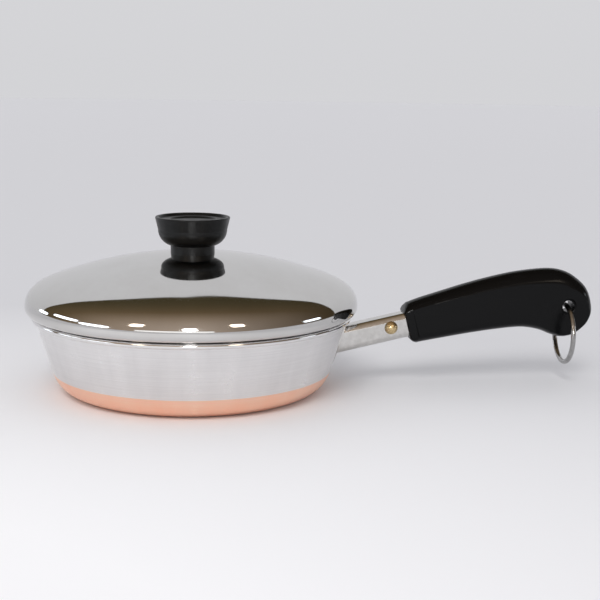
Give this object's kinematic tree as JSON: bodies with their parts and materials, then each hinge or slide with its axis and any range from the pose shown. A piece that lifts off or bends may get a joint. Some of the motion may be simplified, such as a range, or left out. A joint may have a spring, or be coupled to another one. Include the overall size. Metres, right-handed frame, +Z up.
{
  "type": "covered skillet",
  "caption": "Shallow covered steel pan with a copper-clad base, domed polished lid with a bowl-shaped knob, and a moulded grip on a folded bracket with a hanging ring.",
  "frame": {"origin": "centre of the base, on the surface the pan stands on", "axes": "+Z up along the pan's axis, +X from the pan's axis along the handle"},
  "size_m": [0.3862, 0.2204, 0.1155],
  "materials": {
    "pan_steel": "satin brushed around the axis, rim polished",
    "copper": "satin copper",
    "lid_steel": "mirror polished stainless steel",
    "bracket_steel": "polished folded sheet",
    "hardware_steel": "plain steel",
    "ring_steel": "polished wire",
    "rivet_brass": "satin brass",
    "phenolic": "semi-gloss black moulding",
    "knob_phenolic": "dull black moulding"
  },
  "bodies": {
    "pan": {"pan_shell": "pan_steel", "copper_base": "copper", "handle_bracket": "bracket_steel", "handle_tang": "hardware_steel", "bracket_rivet": "rivet_brass", "handle_grip": "phenolic"},
    "lid": {"lid_shell": "lid_steel", "knob_grip": "knob_phenolic", "knob_insert": "rivet_brass", "knob_screw": "hardware_steel", "knob_washer": "hardware_steel"},
    "ring": {"hanging_ring": "ring_steel"}
  },
  "joints": [
    {"name": "lid_lift", "type": "slide", "parent": "pan", "child": "lid", "axis": [0, 0, 1], "range_m": [0, 0.12]},
    {"name": "ring_swing", "type": "hinge", "parent": "pan", "child": "ring", "pos_m": [0.258, 0, 0.054], "axis": [0, 1, 0], "range_deg": [-215, 55]}
  ]
}
